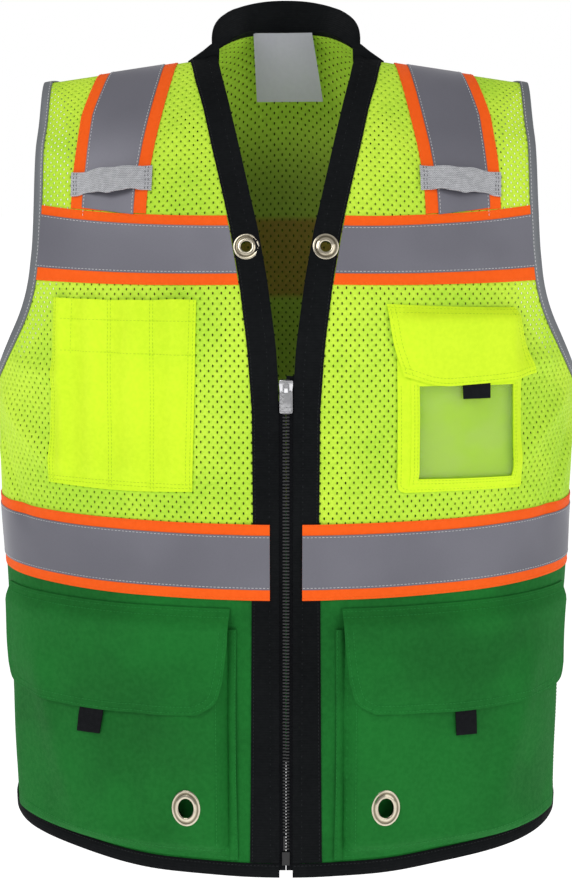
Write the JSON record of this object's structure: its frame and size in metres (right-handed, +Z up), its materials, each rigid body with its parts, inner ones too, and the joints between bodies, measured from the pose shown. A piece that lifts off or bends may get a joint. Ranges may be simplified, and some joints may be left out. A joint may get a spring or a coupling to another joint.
{
  "type": "high visibility vest",
  "caption": "Sleeveless high-visibility work vest with reflective bands, front zip, stand collar, flapped cargo pockets, pen pocket, card pocket, mic loops and metal eyelets.",
  "frame": {"origin": "midway between the two side-neck points of the shoulder seams, where the vest bears on the wearer's shoulders", "axes": "+Z up; the vest's front faces -Y; +X towards the wearer's left"},
  "size_m": [0.5352, 0.2922, 0.7691],
  "materials": {
    "binding_grey": "satin",
    "cloth_black": "matte",
    "cloth_green": "matte",
    "cloth_lime": "matte",
    "eyelet_metal": "gloss",
    "label_grey": "satin",
    "mesh_lime": "matte",
    "tape_orange": "matte",
    "tape_silver": "satin",
    "vinyl_clear": "gloss",
    "webbing_grey": "matte",
    "zip_black": "matte",
    "zip_metal": "gloss"
  },
  "bodies": {
    "back": {"back_chest_orange": "tape_orange", "back_chest_silver": "tape_silver", "back_hem_binding": "cloth_black", "back_lower": "cloth_green", "back_mesh": "mesh_lime", "back_waist_orange": "tape_orange", "back_waist_silver": "tape_silver", "collar_band": "cloth_black", "left_back_armhole_binding": "binding_grey", "left_back_shoulder_orange": "tape_orange", "left_back_shoulder_silver": "tape_silver", "neck_label": "label_grey", "right_back_armhole_binding": "binding_grey", "right_back_shoulder_orange": "tape_orange", "right_back_shoulder_silver": "tape_silver"},
    "right_front": {"pen_pocket": "cloth_lime", "right_cargo_pocket": "cloth_green", "right_chest_orange": "tape_orange", "right_chest_silver": "tape_silver", "right_front_armhole_binding": "binding_grey", "right_front_hem_binding": "cloth_black", "right_front_lower": "cloth_green", "right_front_mesh": "mesh_lime", "right_mic_tab": "webbing_grey", "right_neck_eyelet": "eyelet_metal", "right_placket": "cloth_black", "right_pocket_eyelet": "eyelet_metal", "right_shoulder_orange": "tape_orange", "right_shoulder_silver": "tape_silver", "right_waist_orange": "tape_orange", "right_waist_silver": "tape_silver", "right_zip_half": "zip_black", "zip_insertion_pin": "zip_black"},
    "left_front": {"id_pocket_frame": "cloth_lime", "id_window": "vinyl_clear", "left_cargo_pocket": "cloth_green", "left_chest_orange": "tape_orange", "left_chest_silver": "tape_silver", "left_front_armhole_binding": "binding_grey", "left_front_hem_binding": "cloth_black", "left_front_lower": "cloth_green", "left_front_mesh": "mesh_lime", "left_mic_tab": "webbing_grey", "left_neck_eyelet": "eyelet_metal", "left_placket": "cloth_black", "left_pocket_eyelet": "eyelet_metal", "left_shoulder_orange": "tape_orange", "left_shoulder_silver": "tape_silver", "left_waist_orange": "tape_orange", "left_waist_silver": "tape_silver", "left_zip_half": "zip_black", "zip_retainer_box": "zip_black"},
    "id_flap": {"id_flap": "cloth_lime", "id_flap_tab": "cloth_black"},
    "left_cargo_flap": {"left_cargo_flap": "cloth_green", "left_cargo_flap_tab": "cloth_black"},
    "right_cargo_flap": {"right_cargo_flap": "cloth_green", "right_cargo_flap_tab": "cloth_black"},
    "zip_pull": {"zip_pull": "zip_metal"},
    "zip_slider": {"zip_slider": "zip_metal"}
  },
  "joints": [
    {"name": "right_front_swing", "type": "hinge", "parent": "back", "child": "right_front", "pos_m": [-0.2686, 0, -0.283], "axis": [0.0316, 0, -0.9995], "range_deg": [0, 40]},
    {"name": "left_front_swing", "type": "hinge", "parent": "back", "child": "left_front", "pos_m": [0.2686, 0, -0.283], "axis": [0.0316, 0, 0.9995], "range_deg": [0, 40]},
    {"name": "zip_travel", "type": "slide", "parent": "left_front", "child": "zip_slider", "axis": [0, -0.0434, -0.9991], "range_m": [0, 0.385]},
    {"name": "zip_pull_swing", "type": "hinge", "parent": "zip_slider", "child": "zip_pull", "pos_m": [0, -0.1433, -0.27531], "axis": [-1, 0, 0], "range_deg": [0, 150]},
    {"name": "right_cargo_flap_lift", "type": "hinge", "parent": "right_front", "child": "right_cargo_flap", "pos_m": [-0.167, -0.11594, -0.46995], "axis": [-0.9047, 0.426, 0], "range_deg": [0, 80]},
    {"name": "left_cargo_flap_lift", "type": "hinge", "parent": "left_front", "child": "left_cargo_flap", "pos_m": [0.167, -0.11594, -0.46995], "axis": [-0.9047, -0.426, 0], "range_deg": [0, 80]},
    {"name": "id_flap_lift", "type": "hinge", "parent": "left_front", "child": "id_flap", "pos_m": [0.14761, -0.11406, -0.20767], "axis": [-0.9477, -0.319, 0], "range_deg": [0, 110]}
  ]
}
